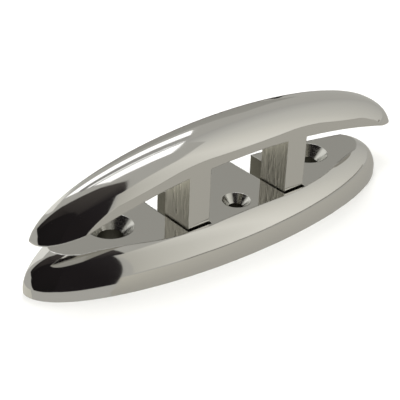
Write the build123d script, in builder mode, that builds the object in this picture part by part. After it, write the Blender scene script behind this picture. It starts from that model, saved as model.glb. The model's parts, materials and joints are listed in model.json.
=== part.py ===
"""Folding mooring cleat with its horn raised, in polished stainless steel, in millimetres.

+X runs along the cleat, +Z is up, and the origin is at the middle of the base's underside.
The horn hinges back about X: folded, its crescent completes the oval of the base.
The horn is shaped folded, inside the same dome as the base, and is then swung up.
"""
import os
from math import cos, radians, sin, sqrt, tan

from build123d import *

# Dome that the base and the folded horn share
length = 154.0
width = 48.8
foot_height = 1.6  # straight edge that stands on the deck
edge_round_width = 13.2  # how far the rounded edge reaches in, at mid length
edge_round_height = 14.0
end_slope = 1.85  # the ends slope in this much more than the long sides
dome_steps = 7
dome_last_angle = 84.0

# Polished plate that is sunk between the raised rims
plate_height = 12.8
rim_edge = 18.2  # middle of the plate to the front rim
band_edge = 17.2  # middle of the plate to the horn's own rim
rim_straight = 29.0  # half length of the front rim's straight middle
band_straight = 25.0
rim_end_x = 71.0
rim_end_y = 4.7
band_end_y = 8.0
rim_bend_radius = 80.0

# Split between the base and the horn
split_y = 12.6
split_radius = 260.0
fold_gap = 0.9
horn_lift = 0.4  # folded horn to the deck

# Hinge
pin_radius = 2.5
pin_y = -11.6
pin_z = 8.0
pin_length = 21.7
pin_chamfer = 0.4
pin_play = 0.04  # radial play of a leg on its pin
groove_play = 0.03
raised_angle = 90.0  # how far the horn swings up from folded

# Legs
leg_spacing = 42.2
leg_width = 8.6
leg_front = plate_height - pin_z  # pin to a leg's front face, flush with the plate when folded
toe_relief = 0.2  # how far the toe swings out past the leg's front face
toe_radius = leg_front + toe_relief
leg_edge_radius = 0.3
leg_root = 1.6  # how far a leg runs on inside the horn
notch_side_gap = 0.55
notch_front_gap = 0.6  # toe or washer, whichever reaches further, to the slot's front wall

# Friction washers, one on each side of each leg
washer_thickness = 0.5
washer_radius = 4.3
washer_play = 0.1

# Pin keepers, let into the underside
keeper_thickness = 2.8
keeper_span = 16.6
keeper_gap = 0.15
keeper_edge_radius = 1.5
keeper_recess = 0.4  # keepers and screw heads to the deck
tongue_gap = 0.05

# Keeper screws
screw_radius = 1.5
screw_head_radius = 2.8
screw_head_angle = 90.0
screw_length = 8.0
screw_spacing = 10.0
screw_play = 0.1
screw_hole_spare = 0.8
socket_across_flats = 2.0
socket_depth = 1.0

# Deck fastener holes
end_hole_spacing = 88.0
end_hole_y = 0.6
end_hole_radius = 4.3
end_head_radius = 7.7
centre_hole_y = -10.5
centre_hole_radius = 2.6
centre_head_radius = 4.95
deck_head_angle = 82.0

# Sizes that follow from the ones above
tall = plate_height + edge_round_height
heel_radius = pin_z - horn_lift
slot_front = pin_y - max(toe_radius, washer_radius) - notch_front_gap
notch_width = leg_width + 2 * notch_side_gap
groove_radius = pin_radius + groove_play
seat_height = keeper_recess + keeper_thickness
keeper_length = (pin_length - notch_width) / 2 - keeper_gap
keeper_offset = (notch_width + keeper_length) / 2  # middle of a leg to the middle of a keeper
tongue_top = pin_z - pin_radius - tongue_gap
screw_head_height = (screw_head_radius - screw_radius) / tan(radians(screw_head_angle / 2))
screw_hole_depth = screw_length - keeper_thickness + screw_hole_spare
end_holes = [(x, end_hole_y, plate_height) for x in (-end_hole_spacing / 2, end_hole_spacing / 2)]
leg_places = {"left": -leg_spacing / 2, "right": leg_spacing / 2}
hinge_axis = Axis((0, pin_y, pin_z), (1, 0, 0))

os.makedirs("parts", exist_ok=True)


def finish(piece, name):
    """Labels a finished piece and writes its STEP file."""
    piece.part.label = name
    export_step(piece.part, f"parts/{name}.step")


def split_arc(gap):
    """Ends and top of the arc that parts the base from the horn, moved back by a gap."""
    radius = split_radius + gap
    half = length / 2
    end_y = split_y - split_radius + sqrt(radius**2 - half**2)
    return (-half, end_y), (0, split_y + gap), (half, end_y)


# The whole dome: an oval foot and a rounded edge lofted through shrinking ovals
with BuildPart() as dome:
    with BuildSketch():
        Ellipse(length / 2, width / 2)
    extrude(amount=foot_height)
    for step in range(dome_steps + 1):
        angle = radians(dome_last_angle * step / dome_steps)
        inset = edge_round_width * (1 - cos(angle))
        with BuildSketch(Plane.XY.offset(foot_height + edge_round_height * sin(angle))):
            Ellipse(length / 2 - end_slope * inset, width / 2 - inset)
    loft()

# The space over the plate, between the base's front rim and the horn's rim
with BuildPart() as plate_space:
    with BuildSketch(Plane.XY.offset(plate_height)):
        with BuildLine():
            front = FilletPolyline(
                (-rim_end_x, -rim_end_y), (-rim_straight, -rim_edge),
                (rim_straight, -rim_edge), (rim_end_x, -rim_end_y), radius=rim_bend_radius,
            )
            back = FilletPolyline(
                (-rim_end_x, band_end_y), (-band_straight, band_edge),
                (band_straight, band_edge), (rim_end_x, band_end_y), radius=rim_bend_radius,
            )
            Polyline(front @ 0, (-length, -rim_end_y), (-length, band_end_y), back @ 0)
            Polyline(front @ 1, (length, -rim_end_y), (length, band_end_y), back @ 1)
        make_face()
    extrude(amount=edge_round_height)

with BuildPart() as base:
    add(dome.part)
    # the horn's share of the dome
    with BuildSketch():
        with BuildLine():
            start, middle, end = split_arc(0)
            ThreePointArc(start, middle, end)
            Polyline(start, (-length, start[1]), (-length, width), (length, width), (length, end[1]), end)
        make_face()
    extrude(amount=tall, mode=Mode.SUBTRACT)
    add(plate_space.part, mode=Mode.SUBTRACT)
    for leg_x in leg_places.values():
        # a slot for each leg, from the toe's clearance to the open back
        with BuildSketch():
            with Locations((leg_x, slot_front)):
                Rectangle(notch_width, 2 * width, align=(Align.CENTER, Align.MIN))
        extrude(amount=tall, mode=Mode.SUBTRACT)
        # a groove for the pin and a shallow seat for each keeper, both from below
        with BuildSketch(Plane.YZ.offset(leg_x)):
            with Locations((pin_y, pin_z)):
                Circle(groove_radius)
            with Locations((pin_y, pin_z / 2)):
                Rectangle(2 * groove_radius, pin_z)
        extrude(amount=pin_length / 2 + groove_play, both=True, mode=Mode.SUBTRACT)
        with BuildSketch():
            with Locations((leg_x, pin_y)):
                Rectangle(pin_length + 2 * groove_play, keeper_span + 2 * keeper_gap)
        extrude(amount=seat_height, mode=Mode.SUBTRACT)
        with Locations(Plane((leg_x, pin_y, seat_height), z_dir=(0, 0, -1))):
            with GridLocations(2 * keeper_offset, screw_spacing, 2, 2):
                Hole(screw_radius + screw_play, screw_hole_depth)
    # countersunk holes for the deck fasteners
    with Locations(*end_holes):
        CounterSinkHole(end_hole_radius, end_head_radius, counter_sink_angle=deck_head_angle)
    with Locations((0, centre_hole_y, plate_height)):
        CounterSinkHole(centre_hole_radius, centre_head_radius, counter_sink_angle=deck_head_angle)
finish(base, "base")

# One leg as it lies folded: square in section, with a round toe below the pin and a longer heel
with BuildPart() as leg:
    with BuildSketch(Plane.YZ):
        with BuildLine():
            root_y = split_y + fold_gap + leg_root
            top_z = pin_z + leg_front
            toe_y = pin_y - sqrt(toe_radius**2 - leg_front**2)
            Polyline((toe_y, top_z), (root_y, top_z), (root_y, horn_lift), (pin_y, horn_lift))
            EllipticalCenterArc((pin_y, pin_z), toe_radius, heel_radius, start_angle=180, arc_size=90)
            RadiusArc((pin_y - toe_radius, pin_z), (toe_y, top_z), toe_radius)
        make_face()
    extrude(amount=leg_width / 2, both=True)
    fillet(leg.edges().filter_by(Axis.Y), radius=leg_edge_radius)

# The horn as it lies folded: the back crescent of the dome with both legs
with BuildPart() as folded_horn:
    add(dome.part)
    with BuildSketch():
        with BuildLine():
            start, middle, end = split_arc(fold_gap)
            ThreePointArc(start, middle, end)
            Polyline(start, (-length, start[1]), (-length, -width), (length, -width), (length, end[1]), end)
        make_face()
    extrude(amount=tall, mode=Mode.SUBTRACT)
    add(plate_space.part, mode=Mode.SUBTRACT)
    with BuildSketch():
        Rectangle(2 * length, 2 * width)
    extrude(amount=horn_lift, mode=Mode.SUBTRACT)
    with GridLocations(leg_spacing, 0, 2, 1):
        add(leg.part)
    with Locations(Plane((0, pin_y, pin_z), z_dir=(1, 0, 0))):
        Cylinder(pin_radius + pin_play, leg_spacing + 2 * leg_width, mode=Mode.SUBTRACT)

with BuildPart() as horn:
    add(folded_horn.part.rotate(hinge_axis, raised_angle))
finish(horn, "horn")

for side, leg_x in leg_places.items():
    outward = 1 if leg_x > 0 else -1
    with BuildPart() as hinge_pin:
        with BuildSketch(Plane.YZ.offset(leg_x)):
            with Locations((pin_y, pin_z)):
                Circle(pin_radius)
        extrude(amount=pin_length / 2, both=True)
        chamfer(hinge_pin.edges().filter_by(GeomType.CIRCLE), length=pin_chamfer)
    finish(hinge_pin, f"hinge_pin_{side}")

    for place, direction in {"inner": -outward, "outer": outward}.items():
        # washer between the leg and the wall of its slot
        washer_x = leg_x + direction * (leg_width / 2 + notch_side_gap / 2)
        with BuildPart() as washer:
            with BuildSketch(Plane.YZ.offset(washer_x)):
                with Locations((pin_y, pin_z)):
                    Circle(washer_radius)
                    Circle(pin_radius + washer_play, mode=Mode.SUBTRACT)
            extrude(amount=washer_thickness / 2, both=True)
        finish(washer, f"leg_washer_{side}_{place}")

        # keeper: a plate under the pin with a tongue that fills the groove
        keeper_x = leg_x + direction * keeper_offset
        with BuildPart() as keeper:
            with BuildSketch(Plane.XY.offset(keeper_recess)):
                with Locations((keeper_x, pin_y)):
                    RectangleRounded(keeper_length - keeper_gap, keeper_span, keeper_edge_radius)
            extrude(amount=keeper_thickness)
            with BuildSketch(Plane.XY.offset(seat_height)):
                with Locations((keeper_x, pin_y)):
                    Rectangle(keeper_length - keeper_gap, 2 * (pin_radius - tongue_gap))
            extrude(amount=tongue_top - seat_height)
            with Locations(Plane((keeper_x, pin_y, keeper_recess), z_dir=(0, 0, -1))):
                with GridLocations(0, screw_spacing, 1, 2):
                    CounterSinkHole(screw_radius + screw_play, screw_head_radius + screw_play,
                                    counter_sink_angle=screw_head_angle)
        finish(keeper, f"pin_keeper_{side}_{place}")

        for row, screw_y in {"front": pin_y - screw_spacing / 2, "back": pin_y + screw_spacing / 2}.items():
            # flat-headed screw with a hexagon socket, its head flush with the keeper
            with BuildPart() as screw:
                with BuildSketch(Plane.XZ.offset(-screw_y)):
                    with BuildLine():
                        Polyline(
                            (keeper_x, keeper_recess), (keeper_x + screw_head_radius, keeper_recess),
                            (keeper_x + screw_radius, keeper_recess + screw_head_height),
                            (keeper_x + screw_radius, keeper_recess + screw_length),
                            (keeper_x, keeper_recess + screw_length), close=True,
                        )
                    make_face()
                revolve(axis=Axis((keeper_x, screw_y, 0), (0, 0, 1)))
                with BuildSketch(Plane.XY.offset(keeper_recess)):
                    with Locations((keeper_x, screw_y)):
                        RegularPolygon(socket_across_flats / 2, 6, major_radius=False)
                extrude(amount=socket_depth, mode=Mode.SUBTRACT)
            finish(screw, f"keeper_screw_{side}_{place}_{row}")
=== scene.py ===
"""Folding mooring cleat in mirror-polished stainless steel, horn raised, on a plain studio floor.

The shapes are modelled in millimetres, folded flat as the castings are made, and scaled to metres at the end.
"""
import json
import math

import bmesh
import bpy
from mathutils import Matrix, Vector


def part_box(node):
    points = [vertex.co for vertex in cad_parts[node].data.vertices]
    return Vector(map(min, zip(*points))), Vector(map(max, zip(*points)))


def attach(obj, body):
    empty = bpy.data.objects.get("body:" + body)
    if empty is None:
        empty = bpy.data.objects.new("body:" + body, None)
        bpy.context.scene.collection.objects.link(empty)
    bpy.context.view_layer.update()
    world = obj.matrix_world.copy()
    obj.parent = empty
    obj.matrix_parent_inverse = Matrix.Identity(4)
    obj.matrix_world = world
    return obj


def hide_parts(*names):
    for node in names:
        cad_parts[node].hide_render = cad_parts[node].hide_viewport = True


bl_info = {
    "name": "Folding Mooring Cleat",
    "version": (1, 0, 0),
    "blender": (4, 5, 0),
    "location": "View3D > Sidebar > Cleat",
    "description": "Builds a flip-up mooring cleat and its studio",
    "category": "Add Mesh",
}

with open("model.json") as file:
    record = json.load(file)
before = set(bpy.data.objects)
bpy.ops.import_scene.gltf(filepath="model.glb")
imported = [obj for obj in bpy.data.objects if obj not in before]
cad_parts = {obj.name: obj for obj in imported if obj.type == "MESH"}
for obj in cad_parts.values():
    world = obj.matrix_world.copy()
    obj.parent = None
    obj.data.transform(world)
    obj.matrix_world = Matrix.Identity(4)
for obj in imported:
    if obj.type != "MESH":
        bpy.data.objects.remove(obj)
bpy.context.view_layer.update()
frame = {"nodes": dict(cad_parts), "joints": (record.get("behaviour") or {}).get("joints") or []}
MM = 0.001
BASE_LOW, BASE_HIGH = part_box("base")
PIN_LOW, PIN_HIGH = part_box("hinge_pin_right")
WASHER_LOW, WASHER_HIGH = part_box("leg_washer_right_inner")
KEEPER_LOW, KEEPER_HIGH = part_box("pin_keeper_right_inner")
HINGE = next(joint for joint in frame["joints"] if joint["name"] == "horn_fold")
HINGE_Y, HINGE_Z = (value / MM for value in HINGE["pos_m"][1:])

# How finely the castings are modelled
DOME_AROUND = 320
DOME_STEPS = 28  # no ring comes close to the plate's height, which would leave slivers
DOME_LAST_ANGLE = math.radians(84)
LEG_STEPS = 14
BACK_ARC_SEGMENTS = 1800
SHARP_ANGLE = math.radians(12)
SEAM = 0.002  # points nearer than this are one, in millimetres
BELOW = -1.0  # where cutters start, under the deck


def length_property(name, description, default):
    """A size in millimetres that the sidebar can change."""
    return bpy.props.FloatProperty(name=name, description=description, default=default, min=0.0, precision=2)


def colour_property(name, description, default):
    """An sRGB colour as a hex string."""
    return bpy.props.StringProperty(name=name, description=description, default=default)


class CleatSizes(bpy.types.PropertyGroup):
    """Sizes of the two castings, in millimetres."""
    length: length_property("Length", "Base from tip to tip", (BASE_HIGH[0] - BASE_LOW[0]) / MM)
    half_width: length_property("Half width", "Middle line to the front edge", -BASE_LOW[1] / MM)
    foot: length_property("Foot", "Straight edge above the deck", 1.6)
    round_width: length_property("Edge width", "How far the rounded edge reaches in", 13.2)
    round_height: length_property("Edge height", "How high the rounded edge rises", 14.0)
    end_slope: length_property("End slope", "How much more the ends slope in", 1.85)
    plate: length_property("Plate", "Deck to the sunk plate", 12.8)
    rim_edge: length_property("Rim edge", "Middle line to the front rim", 18.2)
    rim_straight: length_property("Rim straight", "Half length of the rim's straight middle", 29.0)
    rim_end: length_property("Rim end", "Middle line to the rim's ends", 4.7)
    band_edge: length_property("Band edge", "Middle line to the horn's rim", 17.2)
    band_straight: length_property("Band straight", "Half length of the horn rim's straight middle", 25.0)
    band_end: length_property("Band end", "Middle line to the horn rim's ends", 8.0)
    rim_end_x: length_property("Rim end X", "Where both rims end", 71.0)
    rim_bend: length_property("Rim bend", "Radius where the rims turn inwards", 80.0)
    split_y: length_property("Split", "Middle line to the base's back edge", BASE_HIGH[1] / MM)
    split_radius: length_property("Split radius", "Radius of the base's back edge", 260.0)
    fold_gap: length_property("Fold gap", "Base to the folded horn", 0.9)
    horn_lift: length_property("Horn lift", "Folded horn to the deck", 0.4)
    leg_x: length_property("Leg place", "Middle of the cleat to a leg's", (PIN_LOW[0] + PIN_HIGH[0]) / 2 / MM)
    leg_width: length_property("Leg width", "Width of a leg", 8.6)
    leg_front: length_property("Leg front", "Pin to a leg's front face", 4.8)
    toe: length_property("Toe", "Radius of a leg's toe", 5.0)
    washer: length_property("Washer", "Radius of a washer", (WASHER_HIGH[1] - WASHER_LOW[1]) / 2 / MM)
    leg_root: length_property("Leg root", "How far a leg runs on inside the horn", 1.6)
    slot_corner: length_property("Slot corner", "Rounding of a slot's front corners", 0.5)
    side_gap: length_property("Side gap", "Leg to the side of its slot", 0.55)
    front_gap: length_property("Front gap", "Toe to the front of its slot", 0.6)
    pin_radius: length_property("Pin radius", "Radius of each hinge pin", (PIN_HIGH[1] - PIN_LOW[1]) / 2 / MM)
    pin_length: length_property("Pin length", "Length of each hinge pin", (PIN_HIGH[0] - PIN_LOW[0]) / MM)
    pin_play: length_property("Pin play", "Radial play of a leg on its pin", 0.04)
    groove_play: length_property("Groove play", "Pin to its groove", 0.03)
    keeper_span: length_property("Keeper span", "Front to back", (KEEPER_HIGH[1] - KEEPER_LOW[1]) / MM)
    keeper_gap: length_property("Keeper gap", "Keeper to the edge of its seat", 0.15)
    keeper_top: length_property("Keeper top", "Deck to the seat that a keeper bears on", 3.2)
    screw_hole: length_property("Screw hole", "Radius of a keeper screw's hole", 1.6)
    screw_spare: length_property("Screw spare", "Screw hole beyond the screw's end", 0.8)
    end_hole_x: length_property("End hole X", "Middle of the cleat to an end hole", 44.0)
    end_hole_y: length_property("End hole Y", "Middle line to the end holes", 0.6)
    end_hole: length_property("End hole", "Radius of the end holes", 4.3)
    end_head: length_property("End head", "Radius of the end countersinks", 7.7)
    centre_y: length_property("Centre hole Y", "The centre hole lies this far in front", 10.5)
    centre_hole: length_property("Centre hole", "Radius of the centre hole", 2.6)
    centre_head: length_property("Centre head", "Radius of the centre countersink", 4.95)
    head_angle: bpy.props.FloatProperty(name="Head angle", description="Countersinks, degrees", default=82.0)
    crest: length_property("Crest", "Radius that the polishing wheel leaves on edges", 0.5)


class CleatFinish(bpy.types.PropertyGroup):
    """Colours of the finishes, as sRGB hex."""
    polished: colour_property("Polished steel", "Mirror-polished stainless casting", "#E0DFDC")
    # The cast steel colour is darker than the blasted metal itself: painted shade for the walls inside the
    # slots.
    cast: colour_property("Cast steel", "Blasted stainless casting, as in the slots", "#7C7A70")
    linished: colour_property("Linished steel", "Belt-ground sides of the legs", "#D9D6CA")
    turned: colour_property("Turned steel", "Pins and countersinks, fresh from the tool", "#D8D8D4")
    stamped: colour_property("Stamped steel", "Pin keepers", "#B9B9B5")
    acetal: colour_property("Acetal", "Friction washers", "#1B1B1C")
    floor: colour_property("Floor", "Matte paper sweep", "#F7F7F6")


class CleatStudio(bpy.types.PropertyGroup):
    """Where the camera stands, in millimetres and degrees."""
    azimuth: bpy.props.FloatProperty(name="Azimuth", description="0 looks along +Y", default=-40.40)
    elevation: bpy.props.FloatProperty(name="Elevation", description="Above the horizon", default=29.65)
    roll: bpy.props.FloatProperty(name="Roll", description="Turn about the line of sight", default=2.30)
    distance: length_property("Distance", "Camera to the plane through the origin", 369.9)
    aim_right: bpy.props.FloatProperty(name="Aim right", description="Aim point, to the right", default=-4.48)
    aim_up: bpy.props.FloatProperty(name="Aim up", description="Aim point, up from the origin", default=9.26)
    lens: bpy.props.FloatProperty(name="Lens", description="Focal length", default=94.77)
    shift_x: bpy.props.FloatProperty(name="Shift X", description="Lens shift", default=-0.0051)
    shift_y: bpy.props.FloatProperty(name="Shift Y", description="Lens shift", default=-0.0175)
    room: colour_property("Room", "Tone of the room around the studio", "#A1A09B")


# ---------------------------------------------------------------- materials

def linear(hex_colour):
    """An sRGB hex colour as linear RGBA."""
    parts = [int(hex_colour.lstrip("#")[at:at + 2], 16) / 255 for at in (0, 2, 4)]
    return [part / 12.92 if part <= 0.04045 else ((part + 0.055) / 1.055) ** 2.4 for part in parts] + [1.0]


def add_node(tree, kind, settings=None, inputs=None):
    """Adds a shader node with its settings, and its inputs as values or as links from other sockets."""
    made = tree.nodes.new(kind)
    for name, value in (settings or {}).items():
        setattr(made, name, value)
    for name, value in (inputs or {}).items():
        if isinstance(value, bpy.types.NodeSocket):
            tree.links.new(value, made.inputs[name])
        else:
            made.inputs[name].default_value = value
    return made


def new_material(name):
    """An empty material with its shader and the piece's own coordinates."""
    material = bpy.data.materials.new(name)
    material.use_nodes = True
    tree = material.node_tree
    shader = tree.nodes["Principled BSDF"]
    place = add_node(tree, "ShaderNodeTexCoord").outputs["Object"]
    return material, tree, shader, place


def stretched(tree, place, size_mm):
    """Coordinates in which one unit is the given size along X, Y and Z, in millimetres."""
    scale = [1 / (size * MM) for size in size_mm]
    return add_node(tree, "ShaderNodeMapping", inputs={"Vector": place, "Scale": scale}).outputs["Vector"]


def noise(tree, place, size_mm, detail=2.0, roughness=0.5):
    """Noise whose grain has the given size along each axis, in millimetres."""
    where = stretched(tree, place, size_mm)
    inputs = {"Vector": where, "Scale": 1.0, "Detail": detail, "Roughness": roughness}
    return add_node(tree, "ShaderNodeTexNoise", inputs=inputs).outputs["Fac"]


def spread(tree, value, low, high):
    """Maps noise, which keeps near its middle, to a range."""
    inputs = {"Value": value, "From Min": 0.3, "From Max": 0.7, "To Min": low, "To Max": high}
    return add_node(tree, "ShaderNodeMapRange", inputs=inputs).outputs["Result"]


def worn_edges(tree, radius_mm):
    """Normals that turn smoothly over the edges, as a polishing wheel leaves them."""
    inputs = {"Radius": radius_mm * MM}
    return add_node(tree, "ShaderNodeBevel", {"samples": 8}, inputs).outputs["Normal"]


def bump(tree, height, depth_mm, under=None):
    """A bump of the given depth, on top of other normals if there are any."""
    inputs = {"Height": height, "Strength": 1.0, "Distance": depth_mm * MM}
    if under is not None:
        inputs["Normal"] = under
    return add_node(tree, "ShaderNodeBump", inputs=inputs).outputs["Normal"]


def metal(shader, colour, roughness):
    """Sets a bare metal on the shader."""
    shader.inputs["Metallic"].default_value = 1.0
    shader.inputs["Base Color"].default_value = linear(colour)
    shader.inputs["Roughness"].default_value = roughness


def polished_steel(finish, crest):
    """316 stainless casting, buffed on a wheel: a clear mirror that wobbles a little, with a faint haze."""
    material, tree, shader, place = new_material("mirror_polished_stainless")
    metal(shader, finish.polished, 0.06)
    haze = noise(tree, place, (9.0, 9.0, 9.0), detail=4.0)
    tree.links.new(spread(tree, haze, 0.035, 0.085), shader.inputs["Roughness"])
    wobble = bump(tree, noise(tree, place, (16.0, 11.0, 11.0), detail=1.0), 0.05, worn_edges(tree, crest))
    lines = bump(tree, noise(tree, place, (6.0, 0.35, 0.35), detail=2.0), 0.0004, wobble)
    tree.links.new(lines, shader.inputs["Normal"])
    return material


def linished_steel(finish):
    """Leg sides dressed on a belt and left: long streaks down the leg over the cast skin."""
    material, tree, shader, place = new_material("belt_linished_stainless")
    metal(shader, finish.linished, 0.32)
    streaks = noise(tree, place, (1.6, 1.1, 14.0), detail=4.0, roughness=0.6)
    tree.links.new(spread(tree, streaks, 0.22, 0.45), shader.inputs["Roughness"])
    skin = bump(tree, noise(tree, place, (1.4, 1.4, 3.0), detail=5.0), 0.09)
    tree.links.new(bump(tree, streaks, 0.10, skin), shader.inputs["Normal"])
    return material


def cast_steel_with_painted_shade(finish):
    """Blasted cast skin, left in the slots and underneath: matte and slightly pebbled, with its base colour
    darkened as painted shade for the slot walls.
    """
    material, tree, shader, place = new_material("blasted_cast_stainless_painted_shade")
    # The darkened base colour is painted shade for the inside of the slots, on top of the matte cast skin.
    metal(shader, finish.cast, 0.5)
    grit = noise(tree, place, (0.5, 0.5, 0.5), detail=4.0)
    tree.links.new(spread(tree, grit, 0.42, 0.62), shader.inputs["Roughness"])
    tree.links.new(bump(tree, grit, 0.05), shader.inputs["Normal"])
    return material


def turned_steel(finish):
    """Machined steel straight from the tool: bright, with fine rings."""
    material, tree, shader, place = new_material("turned_stainless")
    metal(shader, finish.turned, 0.22)
    rings = noise(tree, place, (4.0, 4.0, 0.3), detail=2.0)
    tree.links.new(spread(tree, rings, 0.14, 0.3), shader.inputs["Roughness"])
    tree.links.new(bump(tree, rings, 0.02), shader.inputs["Normal"])
    return material


def stamped_steel(finish):
    """Cold-rolled sheet, stamped and tumbled: even satin with short scuffs."""
    material, tree, shader, place = new_material("stamped_stainless")
    metal(shader, finish.stamped, 0.34)
    scuffs = noise(tree, place, (2.0, 0.5, 0.5), detail=5.0)
    tree.links.new(spread(tree, scuffs, 0.26, 0.44), shader.inputs["Roughness"])
    tree.links.new(bump(tree, scuffs, 0.01), shader.inputs["Normal"])
    return material


def acetal(finish):
    """Black acetal washer, turned from rod: dark and waxy."""
    material, tree, shader, place = new_material("black_acetal")
    shader.inputs["Base Color"].default_value = linear(finish.acetal)
    grain = noise(tree, place, (0.4, 0.4, 0.4), detail=3.0)
    tree.links.new(spread(tree, grain, 0.35, 0.5), shader.inputs["Roughness"])
    return material


def floor_paper(finish):
    """Matte white paper sweep with a barely visible tooth."""
    material, tree, shader, place = new_material("studio_paper")
    shader.inputs["Base Color"].default_value = linear(finish.floor)
    shader.inputs["Roughness"].default_value = 0.9
    tree.links.new(bump(tree, noise(tree, place, (0.8, 0.8, 0.8)), 0.01), shader.inputs["Normal"])
    return material


# ---------------------------------------------------------------- shapes, in millimetres

def mesh_object(name, bm, materials=()):
    """Makes an object of a bmesh and frees it."""
    mesh = bpy.data.meshes.new(name)
    bmesh.ops.recalc_face_normals(bm, faces=bm.faces)
    bm.to_mesh(mesh)
    bm.free()
    for material in materials:
        mesh.materials.append(material)
    made = bpy.data.objects.new(name, mesh)
    bpy.context.scene.collection.objects.link(made)
    return made


def dome(sizes, material):
    """The dome that both castings share: an oval drawn up ring by ring through its rounded edge."""
    bm = bmesh.new()
    half = sizes.length / 2
    ring = bmesh.ops.create_circle(bm, segments=DOME_AROUND, radius=1.0)["verts"]
    bmesh.ops.scale(bm, verts=ring, vec=(half, sizes.half_width, 1.0))
    edges = bm.edges[:]
    bmesh.ops.contextual_create(bm, geom=edges)
    inset, height = 0.0, 0.0
    for step in range(DOME_STEPS + 1):
        angle = DOME_LAST_ANGLE * step / DOME_STEPS
        new_inset = sizes.round_width * (1 - math.cos(angle))
        new_height = sizes.foot + sizes.round_height * math.sin(angle)
        drawn = bmesh.ops.extrude_edge_only(bm, edges=edges)["geom"]
        ring = [item for item in drawn if isinstance(item, bmesh.types.BMVert)]
        edges = [item for item in drawn if isinstance(item, bmesh.types.BMEdge)]
        shrink_x = (half - sizes.end_slope * new_inset) / (half - sizes.end_slope * inset)
        shrink_y = (sizes.half_width - new_inset) / (sizes.half_width - inset)
        bmesh.ops.scale(bm, verts=ring, vec=(shrink_x, shrink_y, 1.0))
        bmesh.ops.translate(bm, verts=ring, vec=(0, 0, new_height - height))
        inset, height = new_inset, new_height
    bmesh.ops.contextual_create(bm, geom=edges)
    return mesh_object("dome", bm, [material])


def prism(name, corners, low, high, material, rounded=None):
    """A solid standing on an outline; the corners in rounded, by number, are rounded from a length away."""
    bm = bmesh.new()
    verts = [bm.verts.new((x, y, low)) for x, y in corners]
    bm.faces.new(verts)
    for length, numbers in (rounded or {}).items():
        bmesh.ops.bevel(bm, geom=[verts[number] for number in numbers], offset=length, affect="VERTICES",
                        segments=16, profile=0.5, material=-1)
    raised = bmesh.ops.extrude_face_region(bm, geom=bm.faces[:])["geom"]
    top = [item for item in raised if isinstance(item, bmesh.types.BMVert)]
    bmesh.ops.translate(bm, verts=top, vec=(0, 0, high - low))
    return mesh_object(name, bm, [material])


def cone(name, low_radius, high_radius, low, high, x, y, material, segments=96, turn=None):
    """A cylinder or cone that stands at a place, or is turned by a matrix."""
    bm = bmesh.new()
    bmesh.ops.create_cone(bm, cap_ends=True, segments=segments, radius1=low_radius, radius2=high_radius,
                          depth=high - low, matrix=Matrix.Translation((x, y, (low + high) / 2)))
    if turn is not None:
        bmesh.ops.transform(bm, verts=bm.verts, matrix=turn)
    return mesh_object(name, bm, [material])


def cut(body, tool, operation="DIFFERENCE"):
    """Applies one boolean to a body; the cut faces take the tool's material."""
    modifier = body.modifiers.new("cut", "BOOLEAN")
    modifier.operation = operation
    modifier.solver = "EXACT"
    modifier.material_mode = "TRANSFER"
    modifier.object = tool
    settle(body)
    bpy.data.objects.remove(tool)


def settle(body):
    """Applies a body's modifiers."""
    shaped = bpy.data.meshes.new_from_object(body.evaluated_get(bpy.context.evaluated_depsgraph_get()))
    body.modifiers.clear()
    body.data = shaped


def plate_space(sizes, material):
    """The space over the plate, between the two rims."""
    far, end = sizes.length, sizes.rim_end_x
    corners = [
        (-far, -sizes.rim_end), (-end, -sizes.rim_end), (-sizes.rim_straight, -sizes.rim_edge),
        (sizes.rim_straight, -sizes.rim_edge), (end, -sizes.rim_end), (far, -sizes.rim_end),
        (far, sizes.band_end), (end, sizes.band_end), (sizes.band_straight, sizes.band_edge),
        (-sizes.band_straight, sizes.band_edge), (-end, sizes.band_end), (-far, sizes.band_end),
    ]
    rim_turn = math.atan2(sizes.rim_edge - sizes.rim_end, end - sizes.rim_straight)
    band_turn = math.atan2(sizes.band_edge - sizes.band_end, end - sizes.band_straight)
    rounded = {
        sizes.rim_bend * math.tan(rim_turn / 2): (2, 3),
        sizes.rim_bend * math.tan(band_turn / 2): (8, 9),
    }
    return prism("plate_space", corners, sizes.plate, sizes.plate + sizes.round_height, material, rounded)


def back_arc(sizes, gap, material):
    """The round drum whose edge parts the base from the horn."""
    radius = sizes.split_radius + gap
    return cone("back_arc", radius, radius, BELOW, 3 * sizes.round_height, 0.0,
                sizes.split_y - sizes.split_radius, material, segments=BACK_ARC_SEGMENTS)


def along_pins():
    """Turns what stands on the origin to lie along the hinge pins."""
    return Matrix.Translation((0, HINGE_Y, HINGE_Z)) @ Matrix.Rotation(math.radians(90), 4, "Y")


def hinge_room(base, sizes, x, material):
    """Cuts the room for one leg's pin, a groove that opens downwards, and the seat of its two keepers."""
    radius = sizes.pin_radius + sizes.groove_play
    reach = sizes.pin_length / 2 + sizes.groove_play
    groove = cone("groove", radius, radius, x - reach, x + reach, 0, 0, material, turn=along_pins())
    for vert in groove.data.vertices:
        if vert.co.z < HINGE_Z - 0.01:
            vert.co.z = BELOW
    cut(base, groove)
    half = sizes.keeper_span / 2 + sizes.keeper_gap
    corners = [(x - reach, HINGE_Y - half), (x + reach, HINGE_Y - half),
               (x + reach, HINGE_Y + half), (x - reach, HINGE_Y + half)]
    cut(base, prism("keeper_seat", corners, BELOW, sizes.keeper_top, material))


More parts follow.
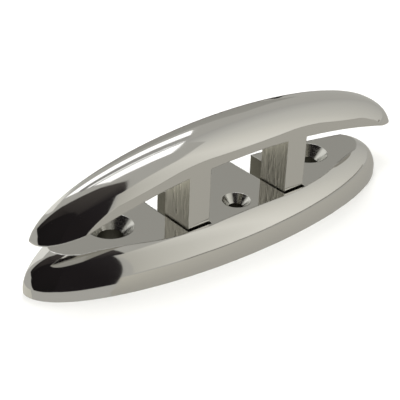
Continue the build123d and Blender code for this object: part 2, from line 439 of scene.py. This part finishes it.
def leg(sizes, x, face, side):
    """One leg as it lies folded, with its round toe, its longer heel and the bore for its pin."""
    toe, front = sizes.toe, sizes.leg_front
    heel = HINGE_Z - sizes.horn_lift
    root = sizes.split_y + sizes.fold_gap + sizes.leg_root - HINGE_Y
    quarter, tip = math.radians(90), math.asin(front / toe)
    outline = [(-math.sqrt(toe**2 - front**2), front), (root, front), (root, -heel), (0.0, -heel)]
    for step in range(1, LEG_STEPS + 1):
        angle = quarter * step / LEG_STEPS
        outline.append((-toe * math.sin(angle), -heel * math.cos(angle)))
    for step in range(1, LEG_STEPS):
        angle = tip * step / LEG_STEPS
        outline.append((-toe * math.cos(angle), toe * math.sin(angle)))
    bm = bmesh.new()
    half = sizes.leg_width / 2
    bm.faces.new([bm.verts.new((x - half, HINGE_Y + y, HINGE_Z + z)) for y, z in outline])
    drawn = bmesh.ops.extrude_face_region(bm, geom=bm.faces[:])["geom"]
    far_side = [item for item in drawn if isinstance(item, bmesh.types.BMVert)]
    bmesh.ops.translate(bm, verts=far_side, vec=(2 * half, 0, 0))
    bmesh.ops.recalc_face_normals(bm, faces=bm.faces)
    for polygon in bm.faces:
        polygon.material_index = 1 if abs(polygon.normal.x) > 0.9 else 0
    made = mesh_object("leg", bm, [face, side])
    radius = sizes.pin_radius + sizes.pin_play
    cut(made, cone("bore", radius, radius, x - 2 * half, x + 2 * half, 0, 0, side, turn=along_pins()))
    return made


def finish_piece(piece, name, body, node):
    """Closes a finished casting's seams, scales it to metres, parents it to its body's empty and hides the
    CAD node that it replaces.
    """
    bm = bmesh.new()
    bm.from_mesh(piece.data)
    bmesh.ops.remove_doubles(bm, verts=bm.verts, dist=SEAM)
    bm.to_mesh(piece.data)
    bm.free()
    piece.data.transform(Matrix.Scale(MM, 4))
    for polygon in piece.data.polygons:
        polygon.use_smooth = True
    piece.data.set_sharp_from_angle(angle=SHARP_ANGLE)
    piece.name = name
    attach(piece, body)
    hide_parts(node)


class CLEAT_OT_base(bpy.types.Operator):
    """The base casting: plate, front rim, slots for the legs and deck fastener holes"""
    bl_idname = "cleat.base"
    bl_label = "Base casting"

    def execute(self, context):
        sizes, finish = context.scene.cleat_sizes, context.scene.cleat_finish
        mirror, cast, turned = polished_steel(finish, sizes.crest), cast_steel_with_painted_shade(finish), turned_steel(finish)
        base = dome(sizes, mirror)
        cut(base, back_arc(sizes, 0.0, mirror), "INTERSECT")
        cut(base, plate_space(sizes, mirror))
        slot_half = sizes.leg_width / 2 + sizes.side_gap
        slot_front = HINGE_Y - max(sizes.toe, sizes.washer) - sizes.front_gap
        tall = 3 * sizes.round_height
        for side in (-1, 1):
            left, right = side * sizes.leg_x - slot_half, side * sizes.leg_x + slot_half
            corners = [(left, slot_front), (right, slot_front), (right, tall), (left, tall)]
            cut(base, prism("slot", corners, BELOW, tall, cast, {sizes.slot_corner: (0, 1)}))
            hinge_room(base, sizes, side * sizes.leg_x, cast)
        for node in frame["nodes"]:
            if node.startswith("keeper_screw"):
                low, high = (Vector(corner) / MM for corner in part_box(node))
                x, y = (low.x + high.x) / 2, (low.y + high.y) / 2
                radius, top = sizes.screw_hole, high.z + sizes.screw_spare
                cut(base, cone("screw_hole", radius, radius, 1.0, top, x, y, turned, segments=48))
        end_hole = (sizes.end_hole_y, sizes.end_hole, sizes.end_head)
        holes = [(side * sizes.end_hole_x, *end_hole) for side in (-1, 1)]
        holes.append((0.0, -sizes.centre_y, sizes.centre_hole, sizes.centre_head))
        flare = math.tan(math.radians(sizes.head_angle / 2))
        for x, y, radius, head in holes:
            sink = sizes.plate - (head - radius) / flare
            cut(base, cone("hole", radius, radius, BELOW, sink + 0.5, x, y, cast))
            cut(base, cone("countersink", radius, head + flare, sink, sizes.plate + 1.0, x, y, turned))
        finish_piece(base, "base_casting", "base", "base")
        return {"FINISHED"}


class CLEAT_OT_horn(bpy.types.Operator):
    """The horn casting: the back crescent of the dome with its two legs, swung up"""
    bl_idname = "cleat.horn"
    bl_label = "Horn casting"

    def execute(self, context):
        sizes, finish = context.scene.cleat_sizes, context.scene.cleat_finish
        mirror, linished = bpy.data.materials["mirror_polished_stainless"], linished_steel(finish)
        horn = dome(sizes, mirror)
        cut(horn, back_arc(sizes, sizes.fold_gap, mirror))
        cut(horn, plate_space(sizes, mirror))
        far = sizes.length
        slab = [(-far, -far), (far, -far), (far, far), (-far, far)]
        cut(horn, prism("deck", slab, BELOW, sizes.horn_lift, linished))
        for side in (-1, 1):
            cut(horn, leg(sizes, side * sizes.leg_x, mirror, linished), "UNION")
        swing = Matrix.Translation((0, HINGE_Y, HINGE_Z)) @ Matrix.Rotation(math.radians(90), 4, "X")
        horn.data.transform(swing @ Matrix.Translation((0, -HINGE_Y, -HINGE_Z)))
        finish_piece(horn, "horn_casting", "horn", "horn")
        return {"FINISHED"}


class CLEAT_OT_fittings(bpy.types.Operator):
    """Finishes of the hinge pins, friction washers, pin keepers and their screws"""
    bl_idname = "cleat.fittings"
    bl_label = "Hinge fittings"

    def execute(self, context):
        finish = context.scene.cleat_finish
        turned = bpy.data.materials["turned_stainless"]
        looks = {
            "hinge_pin": turned, "keeper_screw": turned,
            "pin_keeper": stamped_steel(finish), "leg_washer": acetal(finish),
        }
        for node, part in frame["nodes"].items():
            for start, material in looks.items():
                if node.startswith(start):
                    part.material_slots[0].material = material
        return {"FINISHED"}


class CLEAT_OT_stage(bpy.types.Operator):
    """The paper floor, the soft lights, the cards that the steel reflects, and the camera"""
    bl_idname = "cleat.stage"
    bl_label = "Studio"

    def execute(self, context):
        scene = context.scene
        studio = scene.cleat_studio
        bm = bmesh.new()
        bmesh.ops.create_grid(bm, x_segments=1, y_segments=1, size=3.0)
        floor = mesh_object("studio_floor", bm, [floor_paper(scene.cleat_finish)])
        floor.visible_glossy = False
        world = bpy.data.worlds.new("studio")
        scene.world = world
        world.use_nodes = True
        world.node_tree.nodes["Background"].inputs["Color"].default_value = linear(studio.room)
        world.node_tree.nodes["Background"].inputs["Strength"].default_value = 1.3
        soft_light("key_light", (-0.5, -0.3, 0.9), 0.7, 9.0)
        soft_light("fill_light", (0.6, 0.5, 0.9), 0.8, 7.0)
        for name, corners in CARDS.items():
            card(name, corners, 1.6 if name == "overhead" else 1.0)
        scene.view_settings.view_transform = "Standard"
        camera(scene, studio)
        return {"FINISHED"}


# Cards that only the steel sees. Each corner has an azimuth (0 is +Y, 90 is +X), an elevation and a tone.
CARDS = {
    "flag_front": ((-175, -13, "#211E1F"), (-130, -13, "#211E1F"),
                   (-130, 62, "#211E1F"), (-184, 62, "#2B2829")),
    "flag_left": ((-134, -13, "#1B1919"), (-88, -13, "#1B1919"), (-44, 36, "#1B1919"), (-132, 66, "#211E1F")),
    "flag_back": ((-92, 8, "#1B1919"), (-44, 20, "#1B1919"), (-34, 56, "#3A3634"), (-128, 64, "#211E1F")),
    "flag_top": ((-190, 56, "#2B2829"), (-120, 52, "#211E1F"), (-36, 50, "#3A3634"), (-30, 84, "#4A4643"),
                 (158, 74, "#4A4643")),
    "window_left": ((72, -2, "#B4B3AE"), (112, 1, "#D8D6CE"), (112, 60, "#CFCEC8"), (72, 66, "#B0AFAB")),
    "window_middle": ((112, 1, "#D8D6CE"), (140, 2, "#F6F4EC"), (140, 56, "#E4E2DA"), (112, 60, "#CFCEC8")),
    "window_right": ((140, 2, "#F6F4EC"), (179, 3, "#C2C0B7"), (176, 56, "#BDBBB3"), (140, 56, "#E4E2DA")),
    "table_front": ((60, -42, "#A6A49C"), (186, -42, "#A6A49C"), (184, 1, "#C6C3B8"), (66, -3, "#B2B0AA")),
    "overhead": ((-14, 46, "#FFFFFF"), (44, 48, "#FFFFFF"), (104, 70, "#FFFFFF"), (20, 86, "#F2F2F0")),
    "overhead_bar": ((-12, 57, "#8E8D8A"), (54, 57, "#A9A8A4"), (70, 63, "#B5B4B0"), (-16, 63, "#8E8D8A")),
    "overhead_wire": ((-12, 68, "#55534F"), (70, 64, "#77756F"), (70, 66, "#77756F"), (-12, 70, "#55534F")),
    "back_left": ((-30, -6, "#F2F1EC"), (6, -6, "#F2F1EC"), (6, 43, "#F2F1EC"), (-30, 43, "#F2F1EC")),
    "back_wall": ((6, 21, "#9E9D97"), (54, 21, "#9E9D97"), (54, 40, "#A4A39D"), (6, 43, "#A4A39D")),
    "back_low": ((8, -34, "#1E1C1B"), (49, -34, "#1E1C1B"), (49, 20, "#2A2826"), (8, 20, "#2A2826")),
    "table_back": ((-78, -52, "#CFCDC2"), (-12, -52, "#CFCDC2"), (-12, -9, "#E6E4DA"), (-78, -16, "#CFCDC2")),
    "skirting": ((98, 0.6, "#8A867C"), (164, 0.6, "#77736A"), (164, 2.0, "#77736A"), (98, 2.0, "#8A867C")),
    "warm_spot_a": ((-160, 28, "#8A5C40"), (-146, 30, "#8A5C40"),
                    (-146, 40, "#6B4936"), (-158, 40, "#6B4936")),
    "warm_spot_b": ((-146, 16, "#7A4C36"), (-136, 16, "#7A4C36"),
                    (-138, 27, "#5C3D2E"), (-146, 27, "#5C3D2E")),
}
CARD_DISTANCE = {
    "flag": 1.5, "window": 1.4, "table": 1.45, "overhead": 1.4, "back": 1.4, "skirting": 1.3, "warm": 1.3,
}


def card(name, corners, strength):
    """A glowing card that stands at the given directions, seen only in reflections."""
    distance = CARD_DISTANCE[name.split("_")[0]] - (0.1 if name in ("overhead_bar", "overhead_wire") else 0.0)
    bm = bmesh.new()
    verts = []
    for azimuth, elevation, _ in corners:
        lift = Matrix.Rotation(math.radians(elevation), 3, "X")
        turn = Matrix.Rotation(math.radians(-azimuth), 3, "Z")
        verts.append(bm.verts.new(turn @ lift @ Vector((0, distance, 0))))
    face = bm.faces.new(verts)
    tone = bm.loops.layers.float_color.new("tone")
    for loop, (_, _, colour) in zip(face.loops, corners):
        loop[tone] = linear(colour)
    bmesh.ops.triangulate(bm, faces=[face])
    material = bpy.data.materials.new(name)
    material.use_nodes = True
    tree = material.node_tree
    tree.nodes.remove(tree.nodes["Principled BSDF"])
    tones = add_node(tree, "ShaderNodeAttribute", {"attribute_name": "tone"}).outputs["Color"]
    glow = add_node(tree, "ShaderNodeEmission", inputs={"Color": tones, "Strength": strength})
    tree.links.new(glow.outputs["Emission"], tree.nodes["Material Output"].inputs["Surface"])
    made = mesh_object(name, bm, [material])
    made.visible_camera = made.visible_diffuse = made.visible_shadow = False


def soft_light(name, place, size, power):
    """A square soft light that faces the cleat."""
    data = bpy.data.lights.new(name, "AREA")
    data.size = size
    data.energy = power
    light = bpy.data.objects.new(name, data)
    light.location = place
    light.rotation_euler = Vector(place).to_track_quat("Z", "Y").to_euler()
    light.visible_glossy = False
    bpy.context.scene.collection.objects.link(light)


def camera(scene, studio):
    """A camera at the given azimuth, elevation and roll, aimed a little off the origin."""
    data = bpy.data.cameras.new("camera")
    data.lens = studio.lens
    data.sensor_width = 36.0
    data.shift_x, data.shift_y = studio.shift_x, studio.shift_y
    data.clip_start, data.clip_end = 0.01, 10.0
    turn = (Matrix.Rotation(math.radians(studio.azimuth), 4, "Z")
            @ Matrix.Rotation(math.radians(90 - studio.elevation), 4, "X")
            @ Matrix.Rotation(math.radians(studio.roll), 4, "Z"))
    offset = Vector((studio.aim_right, studio.aim_up, studio.distance)) * MM
    made = bpy.data.objects.new("camera", data)
    made.matrix_world = turn @ Matrix.Translation(offset)
    scene.collection.objects.link(made)
    scene.camera = made


class CLEAT_PT_panel(bpy.types.Panel):
    """Lists the pieces in the 3D view's sidebar"""
    bl_idname = "CLEAT_PT_panel"
    bl_label = "Folding cleat"
    bl_space_type = "VIEW_3D"
    bl_region_type = "UI"
    bl_category = "Cleat"

    def draw(self, context):
        for operator in OPERATORS:
            self.layout.operator(operator.bl_idname)


OPERATORS = (CLEAT_OT_base, CLEAT_OT_horn, CLEAT_OT_fittings, CLEAT_OT_stage)
CLASSES = (CleatSizes, CleatFinish, CleatStudio, *OPERATORS, CLEAT_PT_panel)
GROUPS = {"cleat_sizes": CleatSizes, "cleat_finish": CleatFinish, "cleat_studio": CleatStudio}


def register():
    """Registers the classes and hangs the property groups on the scene."""
    for made in CLASSES:
        bpy.utils.register_class(made)
    for name, group in GROUPS.items():
        setattr(bpy.types.Scene, name, bpy.props.PointerProperty(type=group))


def unregister():
    """Takes everything back out."""
    for name in GROUPS:
        delattr(bpy.types.Scene, name)
    for made in reversed(CLASSES):
        bpy.utils.unregister_class(made)


def main():
    register()
    for operator in OPERATORS:
        group, name = operator.bl_idname.split(".")
        getattr(getattr(bpy.ops, group), name)()


if __name__ == "__main__":
    main()
